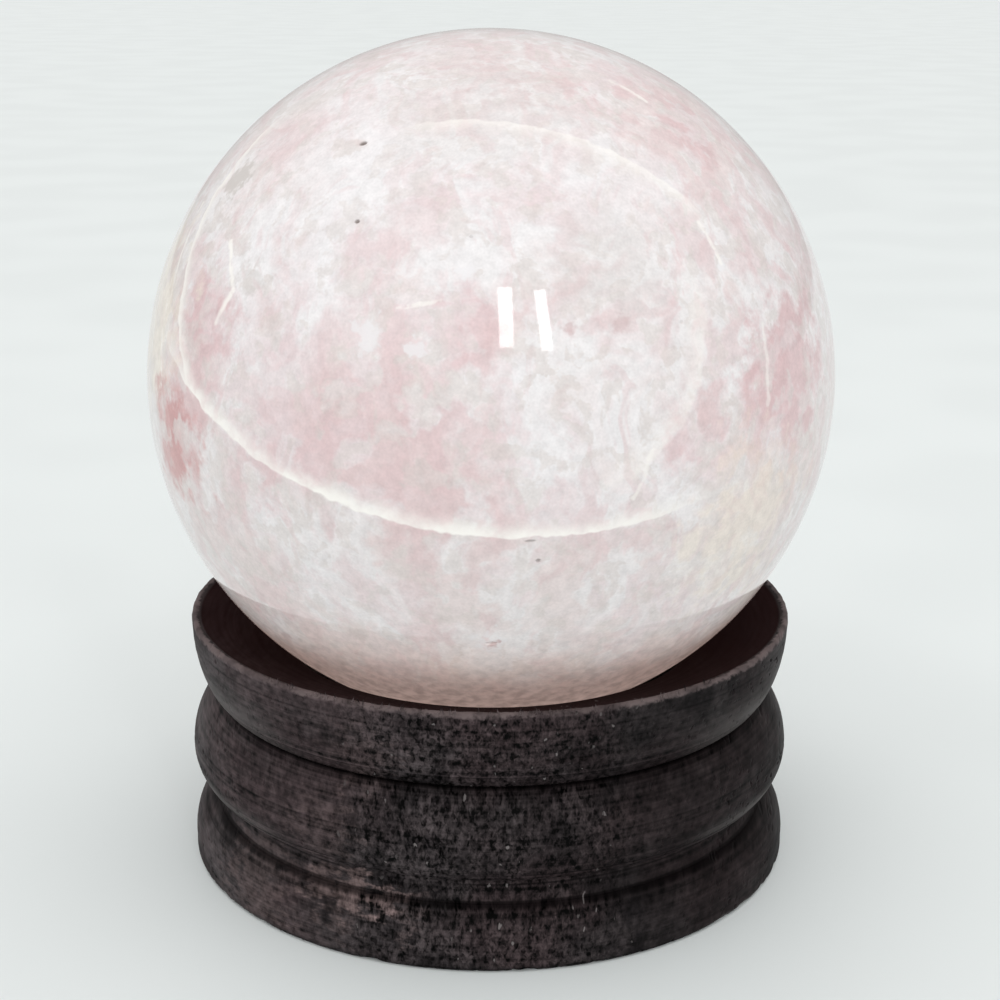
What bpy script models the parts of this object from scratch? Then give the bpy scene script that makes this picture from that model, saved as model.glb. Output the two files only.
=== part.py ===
# A polished stone ball resting in a turned wooden ring stand.
# Metres, +Z up. The origin is under the middle of the stand, on the surface it stands on.

import math

import bmesh
import bpy

# Driving dimensions, in metres and degrees

# The ball
BALL_RADIUS = 0.038

# The stand's widest radii: at its rim, on the fat ring under it, and on the base
RIM_RADIUS = 0.0342
RING_RADIUS = 0.0345
BASE_RADIUS = 0.0346

# Heights of the stand's tiers, stacked from the surface it stands on
BASE_HEIGHT = 0.0064
COVE_HEIGHT = 0.0027
RING_HEIGHT = 0.0100
LIP_HEIGHT = 0.0096

# Radii of the stand at the three turned creases between the tiers
BASE_CREASE_RADIUS = 0.0317
RING_CREASE_RADIUS = 0.0312
LIP_CREASE_RADIUS = 0.0303

# Height of the fat ring's widest line above its lower crease
RING_BELLY_HEIGHT = 0.0039
# Height of the base's straight foot, under its rounded shoulder
FOOT_HEIGHT = 0.0022
# How far in the cove is hollowed, behind a straight line between its two creases
COVE_HOLLOW = 0.0003

# The hollow middle, and the seat that slopes down into it
BORE_RADIUS = 0.0230
SEAT_SLOPE = 20.0
SEAT_LAND = 0.0009
RIM_ROUND = 0.0006
FOOT_CHAMFER = 0.0004

# Clearance between the ball and the seat's land
BALL_CLEARANCE = 0.0003

# Faces round the turned shapes, and points on each of their arcs
ROUND_STEPS = 64
BALL_RINGS = 36
ARC_POINTS = 6
MERGE_DISTANCE = 0.00001


# Heights that follow from the stack

RING_BOTTOM = BASE_HEIGHT + COVE_HEIGHT
LIP_BOTTOM = RING_BOTTOM + RING_HEIGHT
RIM_HEIGHT = LIP_BOTTOM + LIP_HEIGHT


def quarter_arc(start, end, corner, points=ARC_POINTS):
    """Points of the quarter ellipse from start to end that bulges towards corner, end left out."""
    arc = []
    for step in range(points):
        angle = math.radians(90) * step / points
        along_start = 1 - math.sin(angle)
        along_end = 1 - math.cos(angle)
        radius = corner[0] + (start[0] - corner[0]) * along_start + (end[0] - corner[0]) * along_end
        height = corner[1] + (start[1] - corner[1]) * along_start + (end[1] - corner[1]) * along_end
        arc.append((radius, height))
    return arc


def seat_height(radius):
    """Height of the sloping seat at this radius, level with the rim's height where it meets it."""
    return RIM_HEIGHT - (RIM_RADIUS - radius) * math.tan(math.radians(SEAT_SLOPE))


def land_angle():
    """Slope of the ball's underside where it meets the middle of the land."""
    return math.asin((BORE_RADIUS + SEAT_LAND / 2) / BALL_RADIUS)


def land_bottom():
    """Height of the land's inner edge, at the top of the bore."""
    return seat_height(BORE_RADIUS + SEAT_LAND) - SEAT_LAND * math.tan(land_angle())


def ball_height():
    """Height of the ball's centre, with its clearance measured square to the land."""
    middle_radius = BORE_RADIUS + SEAT_LAND / 2
    middle_height = (land_bottom() + seat_height(BORE_RADIUS + SEAT_LAND)) / 2
    resting = math.sqrt(BALL_RADIUS**2 - middle_radius**2)
    return middle_height + resting + BALL_CLEARANCE / math.cos(land_angle())


def cove_arc(points=ARC_POINTS):
    """Points of the shallow hollow between the ring and the base, from the top, both ends left out."""
    arc = []
    for step in range(1, points):
        share = step / points
        straight = RING_CREASE_RADIUS + (BASE_CREASE_RADIUS - RING_CREASE_RADIUS) * share
        hollow = COVE_HOLLOW * math.sin(math.pi * share)
        arc.append((straight - hollow, RING_BOTTOM - COVE_HEIGHT * share))
    return arc


def stand_profile():
    """The stand's closed outline as (radius, height), down its outside and up its bore."""
    seat_rise = RIM_ROUND * math.tan(math.radians(SEAT_SLOPE))
    rim_inside = (RIM_RADIUS - RIM_ROUND, RIM_HEIGHT - seat_rise)
    rim_corner = (RIM_RADIUS, RIM_HEIGHT)
    rim_outside = (RIM_RADIUS, RIM_HEIGHT - RIM_ROUND)
    lip_crease = (LIP_CREASE_RADIUS, LIP_BOTTOM)
    belly = (RING_RADIUS, RING_BOTTOM + RING_BELLY_HEIGHT)
    ring_crease = (RING_CREASE_RADIUS, RING_BOTTOM)
    base_crease = (BASE_CREASE_RADIUS, BASE_HEIGHT)
    shoulder = (BASE_RADIUS, FOOT_HEIGHT)

    outline = quarter_arc(rim_inside, rim_outside, rim_corner, points=3)
    outline += quarter_arc(rim_outside, lip_crease, (RIM_RADIUS, LIP_BOTTOM))
    outline += quarter_arc(lip_crease, belly, (RING_RADIUS, LIP_BOTTOM))
    outline += quarter_arc(belly, ring_crease, (RING_RADIUS, RING_BOTTOM))
    outline.append(ring_crease)
    outline += cove_arc()
    outline += quarter_arc(base_crease, shoulder, (BASE_RADIUS, BASE_HEIGHT))
    outline.append(shoulder)
    outline.append((BASE_RADIUS, FOOT_CHAMFER))
    outline.append((BASE_RADIUS - FOOT_CHAMFER, 0.0))
    outline.append((BORE_RADIUS + FOOT_CHAMFER, 0.0))
    outline.append((BORE_RADIUS, FOOT_CHAMFER))
    outline.append((BORE_RADIUS, land_bottom()))
    outline.append((BORE_RADIUS + SEAT_LAND, seat_height(BORE_RADIUS + SEAT_LAND)))
    return outline


def new_material(name, colour, roughness):
    """A plain Principled material with no metal in it."""
    material = bpy.data.materials.new(name)
    material.use_nodes = True
    material.diffuse_color = (*colour, 1.0)
    shader = material.node_tree.nodes["Principled BSDF"]
    shader.inputs["Base Color"].default_value = (*colour, 1.0)
    shader.inputs["Roughness"].default_value = roughness
    shader.inputs["Metallic"].default_value = 0.0
    return material


def new_object(name, mesh, collection, material):
    """An object for this mesh, in its collection and with its material."""
    piece = bpy.data.objects.new(name, mesh)
    collection.objects.link(piece)
    mesh.materials.append(material)
    return piece


def make_ball(collection):
    """The stone ball, as a sphere with its poles up and down."""
    mesh = bpy.data.meshes.new("stone_ball")
    shape = bmesh.new()
    bmesh.ops.create_uvsphere(shape, u_segments=ROUND_STEPS, v_segments=BALL_RINGS, radius=BALL_RADIUS)
    shape.to_mesh(mesh)
    shape.free()
    mesh.shade_smooth()
    stone = new_material("polished_stone", (0.80, 0.66, 0.64), 0.08)
    ball = new_object("stone_ball", mesh, collection, stone)
    ball.location = (0.0, 0.0, ball_height())
    return ball


def make_stand(collection):
    """The ring stand, turned from its outline round the vertical axis."""
    mesh = bpy.data.meshes.new("ring_stand")
    outline = stand_profile()
    corners = [(radius, 0.0, height) for radius, height in outline]
    edges = [(index, (index + 1) % len(outline)) for index in range(len(outline))]
    mesh.from_pydata(corners, edges, [])
    wood = new_material("dark_wood", (0.045, 0.020, 0.020), 0.5)
    stand = new_object("ring_stand", mesh, collection, wood)

    turning = stand.modifiers.new("Turning", "SCREW")
    turning.axis = "Z"
    turning.angle = math.radians(360)
    turning.steps = ROUND_STEPS
    turning.render_steps = ROUND_STEPS
    turning.use_merge_vertices = True
    turning.merge_threshold = MERGE_DISTANCE
    turning.use_smooth_shade = True
    return stand


def clear_scene():
    for leftover in list(bpy.data.objects):
        bpy.data.objects.remove(leftover, do_unlink=True)


def main():
    clear_scene()
    collection = bpy.data.collections.new("Decorative sphere")
    bpy.context.scene.collection.children.link(collection)
    make_stand(collection)
    make_ball(collection)


main()
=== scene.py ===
import math

import bmesh
import bpy
import numpy as np
from mathutils import Matrix, Vector


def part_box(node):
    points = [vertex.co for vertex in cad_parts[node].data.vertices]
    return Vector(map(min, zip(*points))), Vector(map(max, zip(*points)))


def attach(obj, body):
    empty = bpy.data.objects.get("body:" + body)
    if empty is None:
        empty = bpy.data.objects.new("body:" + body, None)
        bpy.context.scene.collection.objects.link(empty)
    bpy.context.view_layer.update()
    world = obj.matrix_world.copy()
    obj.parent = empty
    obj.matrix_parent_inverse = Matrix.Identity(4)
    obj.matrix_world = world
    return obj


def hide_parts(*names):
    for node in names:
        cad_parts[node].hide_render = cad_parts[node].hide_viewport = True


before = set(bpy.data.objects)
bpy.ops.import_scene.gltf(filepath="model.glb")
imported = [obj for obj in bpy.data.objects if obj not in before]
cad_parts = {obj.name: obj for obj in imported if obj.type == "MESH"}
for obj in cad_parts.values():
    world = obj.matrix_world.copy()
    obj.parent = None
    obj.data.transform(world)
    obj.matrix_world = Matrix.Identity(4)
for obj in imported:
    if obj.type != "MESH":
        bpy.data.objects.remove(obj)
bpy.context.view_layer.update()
print("loaded the frame:", sorted(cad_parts))

# lengths are metres, angles degrees; azimuth 0 faces the camera and grows towards +X

ballLow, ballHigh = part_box("stone_ball")
ballCentre = (ballLow + ballHigh) / 2
ballRadius = (ballHigh.z - ballLow.z) / 2
mm = 0.001


def direction(azimuth, elevation):
    # unit vector from the ball's centre
    flat = math.cos(math.radians(elevation))
    return Vector((
        flat * math.sin(math.radians(azimuth)),
        -flat * math.cos(math.radians(azimuth)),
        math.sin(math.radians(elevation)),
    ))


# node helpers, used by the shaders and the geometry trees alike

def wire(tree, value, socket):
    # a socket is linked, anything else is set as the plain value
    if isinstance(value, bpy.types.NodeSocket):
        tree.links.new(value, socket)
    else:
        socket.default_value = value


def addNode(tree, kind, sockets=None, **settings):
    node = tree.nodes.new(kind)
    for name, value in settings.items():
        setattr(node, name, value)
    for name, value in (sockets or {}).items():
        wire(tree, value, node.inputs[name])
    return node


def calc(tree, operation, first, second=0.0):
    node = addNode(tree, "ShaderNodeMath", {0: first, 1: second}, operation=operation)
    return node.outputs[0]


def calcVector(tree, operation, first, second=(0, 0, 0)):
    node = addNode(tree, "ShaderNodeVectorMath", {0: first}, operation=operation)
    wire(tree, second, node.inputs["Scale" if operation == "SCALE" else 1])
    return node.outputs["Value" if operation in ("DOT_PRODUCT", "DISTANCE", "LENGTH") else "Vector"]


def ramp(tree, value, low, high, toLow=0.0, toHigh=1.0):
    # smooth step from low to high
    node = addNode(tree, "ShaderNodeMapRange", interpolation_type="SMOOTHSTEP")
    for index, item in enumerate((value, low, high, toLow, toHigh)):
        wire(tree, item, node.inputs[index])
    return node.outputs[0]


def noise(tree, vector, scale, detail=3.0, roughness=0.55, distortion=0.0, colour=False):
    node = addNode(tree, "ShaderNodeTexNoise", {
        "Vector": vector, "Scale": scale, "Detail": detail,
        "Roughness": roughness, "Distortion": distortion})
    return node.outputs["Color" if colour else "Fac"]


def mix(tree, factor, first, second):
    node = addNode(tree, "ShaderNodeMix", {0: factor, 6: first, 7: second}, data_type="RGBA")
    return node.outputs[2]


def joinXYZ(tree, x, y, z):
    return addNode(tree, "ShaderNodeCombineXYZ", {0: x, 1: y, 2: z}).outputs[0]


def splitXYZ(tree, vector):
    return addNode(tree, "ShaderNodeSeparateXYZ", {0: vector}).outputs


def swing(tree, colour, *parts):
    # makes a colour lighter and darker by each (noise, amount) pair, with 0.5 as the noise's middle
    factor = 1.0
    for value, amount in parts:
        factor = calc(tree, "ADD", calc(tree, "MULTIPLY", calc(tree, "SUBTRACT", value, 0.5), amount), factor)
    return calcVector(tree, "SCALE", colour, factor)


def newGroup(name, kind, inputs, outputs):
    # inputs and outputs are (name, socket kind, value)
    tree = bpy.data.node_groups.new(name, kind)
    for inOut, sockets in (("INPUT", inputs), ("OUTPUT", outputs)):
        for label, socketKind, value in sockets:
            socket = tree.interface.new_socket(label, in_out=inOut, socket_type="NodeSocket" + socketKind)
            if value is not None:
                socket.default_value = value
    return tree, tree.nodes.new("NodeGroupInput").outputs, tree.nodes.new("NodeGroupOutput").inputs


def useGroup(tree, group, sockets):
    node = addNode(tree, "ShaderNodeGroup", node_tree=group)
    for name, value in sockets.items():
        wire(tree, value, node.inputs[name])
    return node.outputs


def newMaterial(name):
    material = bpy.data.materials.new(name)
    material.use_nodes = True
    return material, material.node_tree, material.node_tree.nodes["Principled BSDF"]


# effects that more than one material uses

def makeSoftPatch():
    # a patch that is 1 in its middle, with an edge that Push moves in and out
    tree, given, out = newGroup("softPatch", "ShaderNodeTree", [
        ("Position", "Vector", None), ("Centre", "Vector", None),
        ("Radius", "Float", 0.2), ("Push", "Float", 0.0)],
        [("Mask", "Float", None)])
    away = calcVector(tree, "DISTANCE", given["Position"], given["Centre"])
    share = calc(tree, "DIVIDE", away, given["Radius"])
    wire(tree, ramp(tree, calc(tree, "ADD", share, given["Push"]), 0.45, 1.3, 1.0, 0.0), out["Mask"])
    return tree


def makeMottle():
    # cloudy noise cut to a mask between Low and High
    tree, given, out = newGroup("mottle", "ShaderNodeTree", [
        ("Position", "Vector", None), ("Scale", "Float", 3.0),
        ("Low", "Float", 0.4), ("High", "Float", 0.6)],
        [("Mask", "Float", None)])
    cloud = noise(tree, given["Position"], given["Scale"], 3.0, 0.58)
    wire(tree, ramp(tree, cloud, given["Low"], given["High"]), out["Mask"])
    return tree


def raggedEdge(tree, value, amount):
    # turns a noise into the push that moves an edge in and out
    return calc(tree, "MULTIPLY", calc(tree, "SUBTRACT", value, 0.5), amount)


softPatch = makeSoftPatch()
mottle = makeMottle()


# the stone ball: lengths and heights here are in ball radii from its centre, except the pits'

ballLook = {
    "subdivisions": 7,
    "whiteTone": (0.785, 0.77, 0.78, 1),
    "paleTone": (0.735, 0.652, 0.65, 1),
    "pinkTone": (0.68, 0.53, 0.54, 1),
    "greyTone": (0.65, 0.595, 0.575, 1),
    "veinTone": (0.94, 0.92, 0.88, 1),
    # painted reflection: the wood's warm light, painted low on the ball
    "paintedReflectionTone": (0.86, 0.62, 0.53, 1),
    "pitTone": (0.25, 0.21, 0.20, 1),
    # painted glow: the tone the stone gives off low down, in place of light coming through it
    "paintedGlowTone": (0.27, 0.192, 0.168),
    "roughness": 0.025,
    "smudge": 0.03,
    "refraction": 1.54,
    "looseBend": 0.40,
    "crispBend": 0.10,
    "crispRipple": 0.05,
    "lineRipple": 0.032,
    "edgePush": 2.4,
    "widePush": 2.6,
    "spotPush": 3.5,
    "streakStretch": (1.0, 1.0, 0.35),
    "patchFade": 0.85,
    "mottling": 0.32,
    "grain": 0.12,
    "underVeinGrey": 0.20,
    "veinEdge": 0.007,
    "footBottom": -0.82,
    "footTop": -0.50,
    "paintedReflectionStrength": 0.55,
    "paintedGlowBottom": -0.86,
    "paintedGlowTop": -0.30,
    "paintedGlowFall": 1.5,
}

patchTones = {
    "white": (0.81, 0.80, 0.82, 1),
    "pink": (0.64, 0.425, 0.44, 1),
    "salmon": (0.54, 0.24, 0.235, 1),
    "cream": (0.79, 0.725, 0.635, 1),
    "grey": (0.58, 0.545, 0.525, 1),
    "red": (0.45, 0.24, 0.24, 1),
}

# clouds of white in pale pink, then smaller clumps and upright streaks: how the noise is bent, its
# scale, where it is cut low and high, its strength under the patches and over them, and its tone
clouds = {
    "whiteClouds": ("loose", 2.2, 0.42, 0.56, 1.00, 0.00, "whiteTone"),
    "pinkClouds": ("loose", 4.5, 0.47, 0.60, 0.55, 0.00, "pinkTone"),
    "whiteClumps": ("crisp", 7.5, 0.49, 0.58, 0.75, 0.32, "whiteTone"),
    "pinkStreaks": ("stretched", 11.0, 0.50, 0.62, 0.40, 0.25, "pinkTone"),
    "greyClumps": ("crisp", 15.0, 0.51, 0.60, 0.40, 0.35, "greyTone"),
}

# broad patches: azimuth, elevation, radius, strength, tone
patches = {
    "upperVeil": (-30, 35, 0.44, 0.55, "white"),
    "middleVeil": (11, 36, 0.26, 0.45, "white"),
    "crownCloud": (-23, 44, 0.17, 0.85, "white"),
    "crownCloudEdge": (-8, 44, 0.14, 0.50, "white"),
    "topCloud": (2, 48, 0.12, 0.60, "white"),
    "rightCloud": (25, 40, 0.13, 0.65, "white"),
    "farCloud": (33, 41, 0.08, 0.45, "white"),
    "leftCloud": (-43, 29, 0.13, 0.60, "white"),
    "innerCloud": (-32, 25, 0.10, 0.70, "white"),
    "sideCloud": (-42, 18, 0.14, 0.50, "white"),
    "barCloud": (4, 12, 0.10, 0.60, "white"),
    "broadVeil": (15, 4, 0.22, 0.25, "white"),
    "lowCloudA": (-27, -22, 0.13, 0.40, "white"),
    "lowCloudB": (-16, -23, 0.11, 0.40, "white"),
    "lowCloudC": (-36, -11, 0.06, 0.35, "white"),
    "lowRightCloud": (30, -5, 0.10, 0.45, "white"),
    "lowRightVeil": (35, -30, 0.28, 0.35, "white"),
    "backVeil": (160, 30, 0.45, 0.55, "white"),
    "backCloud": (190, 5, 0.25, 0.55, "white"),
    "sideVeil": (-115, 25, 0.35, 0.50, "white"),
    "leftBlush": (-20, 29, 0.10, 0.38, "pink"),
    "middleBlush": (-4, 19, 0.10, 0.60, "pink"),
    "limbBlush": (-52, 17, 0.13, 0.75, "pink"),
    "limbBlushLow": (-53, 5, 0.12, 0.60, "pink"),
    "lowVeilBlush": (-20, 2, 0.34, 0.40, "pink"),
    "lowBlushA": (-25, 1, 0.13, 0.60, "pink"),
    "lowBlushB": (-20, 9, 0.10, 0.55, "pink"),
    "upperBlush": (-11, 38, 0.09, 0.25, "pink"),
    "rightBlush": (54, 7, 0.24, 0.75, "pink"),
    "innerRightBlush": (30, 3, 0.14, 0.50, "pink"),
    "crownBlushA": (42, 63, 0.14, 0.40, "pink"),
    "crownBlushB": (55, 50, 0.13, 0.50, "pink"),
    "crownBlushC": (-23, 70, 0.12, 0.25, "pink"),
    "shoulderBlush": (-53, 47, 0.10, 0.30, "pink"),
    "barBlush": (10, 23, 0.12, 0.30, "pink"),
    "backBlush": (205, -5, 0.35, 0.55, "pink"),
    "sideBlush": (115, 20, 0.30, 0.45, "pink"),
    "greyMiddle": (16, 27.5, 0.16, 0.35, "grey"),
    "greyCrown": (-2, 57, 0.22, 0.30, "grey"),
    "leftCream": (-75, 16, 0.24, 0.80, "cream"),
    "rightCream": (45, -15, 0.26, 0.60, "cream"),
    "sideCream": (100, -20, 0.25, 0.45, "cream"),
    "salmonSpot": (-58, -5, 0.14, 0.80, "salmon"),
}
broadTones = ("white", "pink", "grey", "cream", "salmon")

# small spots, in the same order
spots = {
    "greyLeft": (-43, 24, 0.05, 0.35, "grey"),
    "greyWedge": (-60, 38.7, 0.050, 0.90, "grey"),
    "whiteSpotA": (-18.5, 17.7, 0.040, 0.70, "white"),
    "whiteSpotB": (-11.2, 16.5, 0.030, 0.75, "white"),
    "whiteSpotC": (-4.6, 27.7, 0.018, 0.80, "white"),
    "whiteSpotD": (40.7, 26.1, 0.014, 0.90, "white"),
    "redDotA": (11.5, 18.8, 0.018, 0.30, "red"),
    "redDotB": (19.5, 19.4, 0.022, 0.22, "red"),
    "openPitEdge": (0.2, -30.6, 0.036, 0.70, "white"),
    "openPitInside": (0.2, -30.8, 0.016, 0.60, "red"),
}

# the sheet-like flaws that show as veins: the plane's azimuth, elevation and offset, then the
# azimuth, elevation and half length of the stretch that shows, then its width and strength
veins = {
    "lowVein": (6.1, 58.6, 0.349, -17.0, -6.0, 0.78, 0.065, 1.00),
    "leftVein": (-16.1, 29.1, 0.737, -62.5, 27.2, 0.40, 0.04, 1.00),
    "topVein": (-4.3, -5.0, 0.524, 17.2, 49.0, 0.40, 0.06, 0.55),
    "rightVein": (7.4, 19.9, 0.898, 29.0, 8.9, 0.30, 0.045, 0.40),
    "backVein": (170.0, -35.0, 0.60, 175.0, 10.0, 0.70, 0.08, 0.80),
}

# healed cracks, as thin pale lines: the azimuth and elevation of both ends, width and strength
threads = {
    "innerLineA": (-50.8, 29.0, -45.8, 21.6, 0.012, 0.75),
    "innerLineB": (-45.8, 21.6, -48.0, 17.0, 0.014, 0.75),
    "barLine": (-14.4, 21.7, -7.9, 23.2, 0.008, 0.55),
    "crownLine": (41.0, 62.0, 46.7, 56.5, 0.011, 0.60),
    "rightLine": (39.5, 33.5, 41.0, 27.0, 0.010, 0.55),
    "lowRightLine": (23.6, 1.3, 21.0, -5.5, 0.010, 0.45),
    "farRightLine": (47.0, 17.0, 46.0, 5.0, 0.010, 0.40),
    "limbLineA": (-70.0, 33.0, -66.0, 18.0, 0.012, 0.60),
    "limbLineB": (-68.0, 20.0, -64.0, 4.0, 0.010, 0.60),
    "limbLineC": (-76.0, 26.0, -72.0, 8.0, 0.010, 0.50),
    "backLineA": (150.0, 40.0, 163.0, 22.0, 0.012, 0.60),
    "backLineB": (163.0, 22.0, 160.0, 8.0, 0.010, 0.60),
    "sideLine": (95.0, 30.0, 104.0, 8.0, 0.012, 0.55),
}

# azimuth, elevation, half width, half height and depth in millimetres, turn, how dark its dirt is
pits = {
    "crownPit": (-29.3, 47.7, 0.46, 0.28, 0.22, 25, 1.0),
    "shoulderPit": (-24.0, 34.4, 0.30, 0.24, 0.18, 10, 0.9),
    "faintPit": (-3.5, 32.8, 0.22, 0.20, 0.08, 0, 0.25),
    "veinPitA": (5.8, -11.3, 0.62, 0.16, 0.10, 4, 0.6),
    "veinPitB": (7.1, -14.6, 0.28, 0.22, 0.12, 0, 0.7),
    "rightPit": (30.0, 19.2, 0.24, 0.20, 0.06, 0, 0.15),
    "openPit": (0.2, -30.8, 0.60, 0.22, 0.16, 8, 0.3),
    "backPit": (150.0, 12.0, 0.40, 0.26, 0.20, 40, 1.0),
    "sidePit": (98.0, -8.0, 0.32, 0.24, 0.18, -20, 0.8),
}


def makeVeinSheet():
    # a flat flaw in the stone: a sharp edge on one side of its plane, fading away on the other
    tree, given, out = newGroup("veinSheet", "ShaderNodeTree", [
        ("Position", "Vector", None), ("Normal", "Vector", None), ("Offset", "Float", 0.5),
        ("Middle", "Vector", None), ("Half Length", "Float", 0.5), ("Width", "Float", 0.1)],
        [("Mask", "Float", None)])
    height = calcVector(tree, "DOT_PRODUCT", given["Position"], given["Normal"])
    above = calc(tree, "SUBTRACT", height, given["Offset"])
    edge = ramp(tree, above, 0.0, ballLook["veinEdge"])
    fade = ramp(tree, calc(tree, "DIVIDE", above, given["Width"]), 0.0, 1.0, 1.0, 0.0)
    sheet = calc(tree, "MULTIPLY", edge, calc(tree, "POWER", fade, 1.6))
    away = calcVector(tree, "DISTANCE", given["Position"], given["Middle"])
    reach = ramp(tree, calc(tree, "DIVIDE", away, given["Half Length"]), 0.75, 1.2, 1.0, 0.0)
    wire(tree, calc(tree, "MULTIPLY", sheet, reach), out["Mask"])
    return tree


def makeThread():
    # a thin line over the ball from Start, by the vector Way to its other end
    tree, given, out = newGroup("thread", "ShaderNodeTree", [
        ("Position", "Vector", None), ("Start", "Vector", None),
        ("Way", "Vector", None), ("Width", "Float", 0.01)],
        [("Mask", "Float", None)])
    fromStart = calcVector(tree, "SUBTRACT", given["Position"], given["Start"])
    reached = calcVector(tree, "DOT_PRODUCT", fromStart, given["Way"])
    share = calc(tree, "DIVIDE", reached, calcVector(tree, "DOT_PRODUCT", given["Way"], given["Way"]))
    share = calc(tree, "MINIMUM", calc(tree, "MAXIMUM", share, 0.0), 1.0)
    nearest = calcVector(tree, "ADD", given["Start"], calcVector(tree, "SCALE", given["Way"], share))
    away = calcVector(tree, "DISTANCE", given["Position"], calcVector(tree, "NORMALIZE", nearest))
    wire(tree, ramp(tree, calc(tree, "DIVIDE", away, given["Width"]), 0.25, 1.0, 1.0, 0.0), out["Mask"])
    return tree


def makeStone():
    look = ballLook
    material, tree, shader = newMaterial("polishedStone")
    veinSheet = makeVeinSheet()
    thread = makeThread()
    place = addNode(tree, "ShaderNodeTexCoord").outputs["Object"]
    centring = addNode(tree, "ShaderNodeMapping", {
        "Vector": place, "Location": -ballCentre / ballRadius, "Scale": (1 / ballRadius,) * 3})
    onBall = centring.outputs[0]
    # one noise bends the broad patterns, and a finer one ruffles the clumps and the lines
    half = (0.5, 0.5, 0.5)
    bend = calcVector(tree, "SUBTRACT", noise(tree, onBall, 2.8, 2.0, 0.60, colour=True), half)
    ripple = calcVector(tree, "SUBTRACT", noise(tree, onBall, 13.0, 2.0, 0.65, colour=True), half)

    def moved(position, way, amount):
        return calcVector(tree, "ADD", position, calcVector(tree, "SCALE", way, amount))

    loose = moved(onBall, bend, look["looseBend"])
    crisp = moved(moved(onBall, bend, look["crispBend"]), ripple, look["crispRipple"])
    tight = moved(onBall, ripple, look["lineRipple"])
    stretched = calcVector(tree, "MULTIPLY", loose, look["streakStretch"])
    bent = {"loose": loose, "crisp": crisp, "stretched": stretched}
    ragged = noise(tree, onBall, 15.0, 3.0, 0.65)
    push = raggedEdge(tree, ragged, look["edgePush"])
    widePush = calc(tree, "ADD", push, calc(tree, "MULTIPLY", splitXYZ(tree, bend)[0], look["widePush"]))

    colour = look["paleTone"]
    overPatches = []
    for kind, scale, low, high, strength, strengthOver, tone in clouds.values():
        cloud = useGroup(tree, mottle, {
            "Position": bent[kind], "Scale": scale, "Low": low, "High": high})["Mask"]
        colour = mix(tree, calc(tree, "MULTIPLY", cloud, strength), colour, look[tone])
        if strengthOver:
            overPatches.append((cloud, strengthOver, look[tone]))

    # below the low vein the stone is greyer
    azimuth, elevation, offset = veins["lowVein"][:3]
    height = calcVector(tree, "DOT_PRODUCT", tight, direction(azimuth, elevation))
    under = ramp(tree, height, offset - 0.01, offset + 0.01, look["underVeinGrey"], 0.0)
    colour = mix(tree, under, colour, look["greyTone"])

    # broad patches come from the mesh, which holds how deep each point lies in them and their strength
    for tone in broadTones:
        depth = addNode(tree, "ShaderNodeAttribute", attribute_name=tone + "Depth").outputs["Fac"]
        strength = addNode(tree, "ShaderNodeAttribute", attribute_name=tone + "Strength").outputs["Fac"]
        mask = ramp(tree, calc(tree, "SUBTRACT", depth, widePush), 0.0, look["patchFade"], 0.0, strength)
        colour = mix(tree, mask, colour, patchTones[tone])

    # the smaller clouds show through the patches, then fine mottling and grain
    for cloud, strength, tone in overPatches:
        colour = mix(tree, calc(tree, "MULTIPLY", cloud, strength), colour, tone)
    mottling = noise(tree, onBall, 34.0, 2.0, 0.6)
    grain = noise(tree, onBall, 150.0, 0.0)
    colour = swing(tree, colour, (mottling, look["mottling"]), (grain, look["grain"]))

    spotPush = raggedEdge(tree, mottling, look["spotPush"])
    for azimuth, elevation, radius, strength, tone in spots.values():
        mask = useGroup(tree, softPatch, {
            "Position": tight, "Centre": direction(azimuth, elevation), "Radius": radius,
            "Push": spotPush})["Mask"]
        colour = mix(tree, calc(tree, "MULTIPLY", mask, strength), colour, patchTones[tone])

    # veins, fainter here and there
    uneven = ramp(tree, ragged, 0.30, 0.60, 0.60, 1.0)
    for azimuth, elevation, offset, midAzimuth, midElevation, halfLength, width, strength in veins.values():
        mask = useGroup(tree, veinSheet, {
            "Position": tight, "Normal": direction(azimuth, elevation), "Offset": offset,
            "Middle": direction(midAzimuth, midElevation), "Half Length": halfLength, "Width": width})["Mask"]
        shown = calc(tree, "MULTIPLY", calc(tree, "MULTIPLY", mask, uneven), strength)
        colour = mix(tree, shown, colour, look["veinTone"])

    # healed cracks, broken up along their length
    broken = ramp(tree, ragged, 0.36, 0.50)
    for azimuth, elevation, endAzimuth, endElevation, width, strength in threads.values():
        start = direction(azimuth, elevation)
        mask = useGroup(tree, thread, {
            "Position": tight, "Start": start, "Way": direction(endAzimuth, endElevation) - start,
            "Width": width})["Mask"]
        shown = calc(tree, "MULTIPLY", calc(tree, "MULTIPLY", mask, broken), strength)
        colour = mix(tree, shown, colour, look["veinTone"])

    # painted reflection: a warm tint down where it nears the wood, standing in for the wood's warm light
    # reflected in the stone
    paintedReflection = ramp(tree, splitXYZ(tree, loose)[2], look["footBottom"], look["footTop"], look["paintedReflectionStrength"], 0.0)
    colour = mix(tree, paintedReflection, colour, look["paintedReflectionTone"])
    pit = addNode(tree, "ShaderNodeAttribute", attribute_name="pit").outputs["Fac"]
    wire(tree, mix(tree, pit, colour, look["pitTone"]), shader.inputs["Base Color"])

    polish = look["roughness"]
    smudge = ramp(tree, noise(tree, onBall, 4.0, 2.0), 0.3, 0.8, polish, polish + look["smudge"])
    wire(tree, calc(tree, "MAXIMUM", smudge, calc(tree, "MULTIPLY", pit, 0.7)), shader.inputs["Roughness"])
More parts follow.
